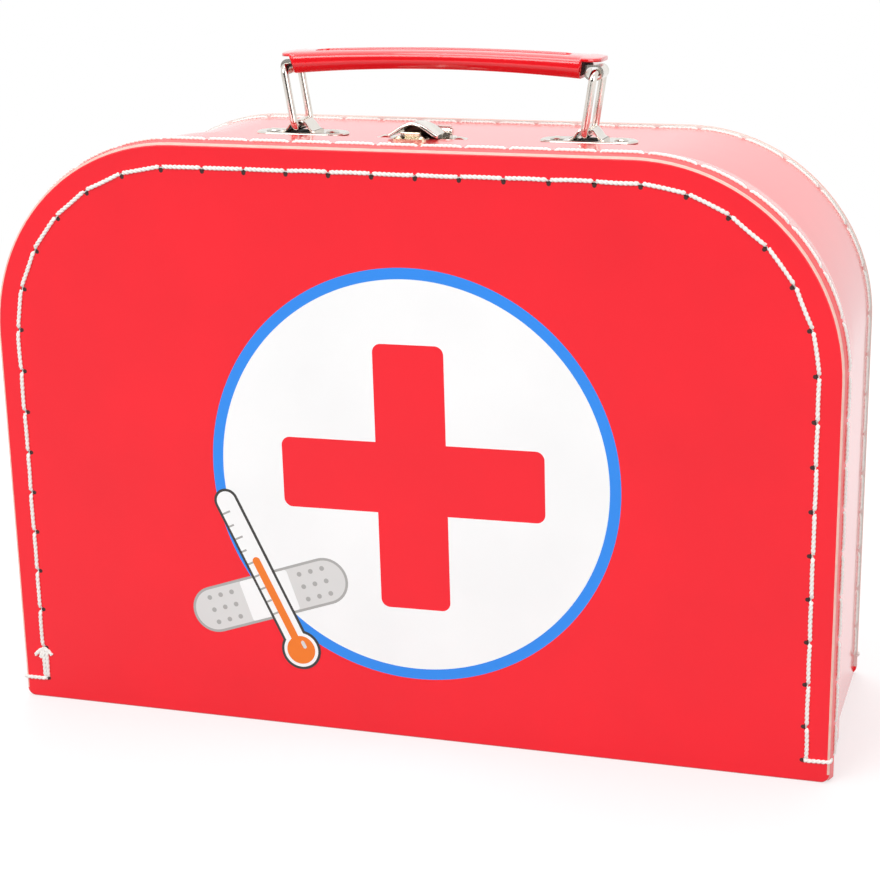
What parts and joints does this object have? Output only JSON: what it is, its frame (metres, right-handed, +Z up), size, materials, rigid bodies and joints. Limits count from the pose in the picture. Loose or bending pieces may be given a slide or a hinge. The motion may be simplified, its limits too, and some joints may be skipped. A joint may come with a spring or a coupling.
{
  "type": "toy doctor case",
  "caption": "Small stitched cardboard case with a hinged lid, folding wire-and-plastic carrying handle and snap clasp.",
  "frame": {"origin": "middle of the bottom face, on the floor", "axes": "+X to the right seen from the printed front, +Y from the front to the back, +Z up"},
  "size_m": [0.2534, 0.0852, 0.1978],
  "materials": {
    "front_board": "red printed paper over board, satin",
    "wall_board": "red printed paper over board, satin",
    "lining_paper": "plain lining paper",
    "hinge_cloth": "woven book cloth",
    "thread": "twisted cotton thread",
    "nickel": "bright nickel plate",
    "catch_plate": "pale brass plate",
    "grip_plastic": "gloss red plastic"
  },
  "bodies": {
    "root": {"back_panel": "front_board", "base_board": "wall_board", "body_wall": "wall_board", "back_lining": "lining_paper", "wall_lining": "lining_paper", "base_lining": "lining_paper", "base_hinge_tape": "hinge_cloth", "back_face_thread": "thread", "back_wall_thread": "thread", "left_bracket": "nickel", "right_bracket": "nickel", "bracket_rivets": "nickel", "rivet_washers": "nickel", "clasp_base": "nickel", "clasp_rivets": "nickel", "clasp_pin": "nickel"},
    "lid": {"lid_panel": "front_board", "lid_rim": "wall_board", "lid_lining": "lining_paper", "lid_hinge_tape": "hinge_cloth", "lid_face_thread": "thread", "lid_wall_thread": "thread", "clasp_catch": "catch_plate", "catch_rivets": "catch_plate"},
    "clasp_lever": {"clasp_lever": "nickel"},
    "left_link": {"left_link": "nickel"},
    "right_link": {"right_link": "nickel"},
    "grip": {"grip_shell": "grip_plastic", "grip_core": "nickel"}
  },
  "joints": [
    {"name": "lid_hinge", "type": "hinge", "parent": "root", "child": "lid", "pos_m": [0, -0.0412, 0.0008], "axis": [1, 0, 0], "range_deg": [0, 90]},
    {"name": "clasp_lift", "type": "hinge", "parent": "root", "child": "clasp_lever", "pos_m": [-0.004, 0.0006, 0.1744], "axis": [-1, 0, 0], "range_deg": [0, 110]},
    {"name": "left_link_swing", "type": "hinge", "parent": "root", "child": "left_link", "pos_m": [-0.0442, 0.0042, 0.1746], "axis": [0, 1, 0], "range_deg": [-35, 35]},
    {"name": "right_link_swing", "type": "hinge", "parent": "root", "child": "right_link", "pos_m": [0.0442, 0.0042, 0.1746], "axis": [0, 1, 0], "range_deg": [-35, 35]},
    {"name": "grip_tilt", "type": "hinge", "parent": "left_link", "child": "grip", "pos_m": [-0.047, 0.0042, 0.1921], "axis": [0, 1, 0], "range_deg": [-33, 33]}
  ],
  "couplings": [
    {"joint": "right_link_swing", "follows": "left_link_swing", "ratio": 1},
    {"joint": "grip_tilt", "follows": "left_link_swing", "ratio": -0.94}
  ]
}
